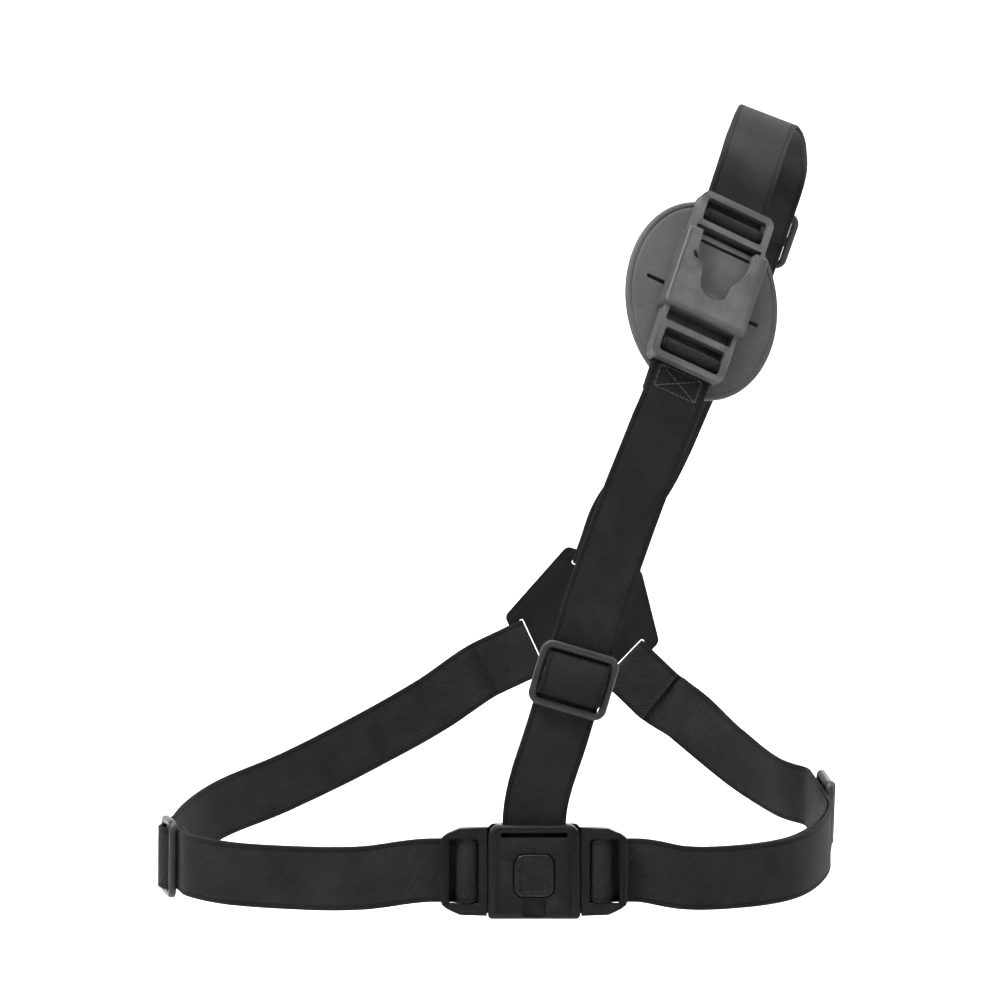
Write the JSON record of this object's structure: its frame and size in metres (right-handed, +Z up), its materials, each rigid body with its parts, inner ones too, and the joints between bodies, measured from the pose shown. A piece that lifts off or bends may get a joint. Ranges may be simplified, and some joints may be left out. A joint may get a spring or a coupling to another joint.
{
  "type": "one-shoulder chest harness",
  "caption": "One-shoulder webbing chest harness, worn shape, with a docking plate on the chest, a centre push-button buckle, sliding adjusters and a back plate that joins the straps.",
  "frame": {"origin": "the underside of the shoulder strap at the top of the wearer's left shoulder", "axes": "+X to the wearer's left, -Y to the front, +Z up"},
  "size_m": [0.281, 0.228, 0.3301],
  "materials": {
    "webbing": "matte",
    "hardware": "satin",
    "button": "satin",
    "dock": "matte",
    "pad": "matte",
    "plate": "satin",
    "spring_steel": "satin"
  },
  "bodies": {
    "harness": {"shoulder_strap": "webbing", "front_strap": "webbing", "left_waist_strap": "webbing", "right_waist_strap": "webbing", "dock_body": "dock", "dock_back_cover": "dock", "dock_pad": "pad", "pad_keeper": "dock", "buckle_front_cover": "hardware", "buckle_back_cover": "hardware", "button_spring": "spring_steel", "back_plate": "plate", "back_plate_panel": "plate"},
    "push_button": {"push_button": "button"},
    "left_latch": {"left_latch": "hardware"},
    "right_latch": {"right_latch": "hardware"},
    "dock_catch": {"dock_catch": "dock"},
    "shoulder_slider": {"shoulder_slider": "hardware", "shoulder_slider_web": "webbing"},
    "front_slider": {"front_slider": "hardware", "front_slider_web": "webbing"},
    "left_waist_slider": {"left_waist_slider": "hardware", "left_waist_slider_web": "webbing"},
    "right_waist_slider": {"right_waist_slider": "hardware", "right_waist_slider_web": "webbing"}
  },
  "joints": [
    {"name": "push_button_press", "type": "slide", "parent": "harness", "child": "push_button", "axis": [0, 1, 0], "range_m": [0, 0.002], "stiffness_N_per_m": 900, "springref_m": -0.001, "deforming": ["button_spring"]},
    {"name": "left_latch_pull", "type": "slide", "parent": "harness", "child": "left_latch", "axis": [1, 0, 0], "range_m": [0, 0.016], "deforming": ["left_waist_strap"]},
    {"name": "right_latch_pull", "type": "slide", "parent": "harness", "child": "right_latch", "axis": [-1, 0, 0], "range_m": [0, 0.016], "deforming": ["right_waist_strap"]},
    {"name": "dock_catch_flex", "type": "hinge", "parent": "harness", "child": "dock_catch", "pos_m": [-0.02235, -0.08313, -0.05672], "axis": [0.8859, 0.2331, -0.4011], "range_deg": [0, 2.4], "stiffness_Nm_per_rad": 5},
    {"name": "shoulder_slider_adjust", "type": "slide", "parent": "harness", "child": "shoulder_slider", "axis": [0.2808, -0.4212, 0.8624], "range_m": [-0.008, 0.008]},
    {"name": "front_slider_adjust", "type": "slide", "parent": "harness", "child": "front_slider", "axis": [-0.2845, 0.02, -0.9585], "range_m": [-0.008, 0.008]},
    {"name": "left_waist_slider_adjust", "type": "slide", "parent": "harness", "child": "left_waist_slider", "axis": [0.1203, -0.9723, -0.2005], "range_m": [-0.008, 0.008]},
    {"name": "right_waist_slider_adjust", "type": "slide", "parent": "harness", "child": "right_waist_slider", "axis": [0.1997, -0.9786, -0.0499], "range_m": [-0.008, 0.008]}
  ]
}
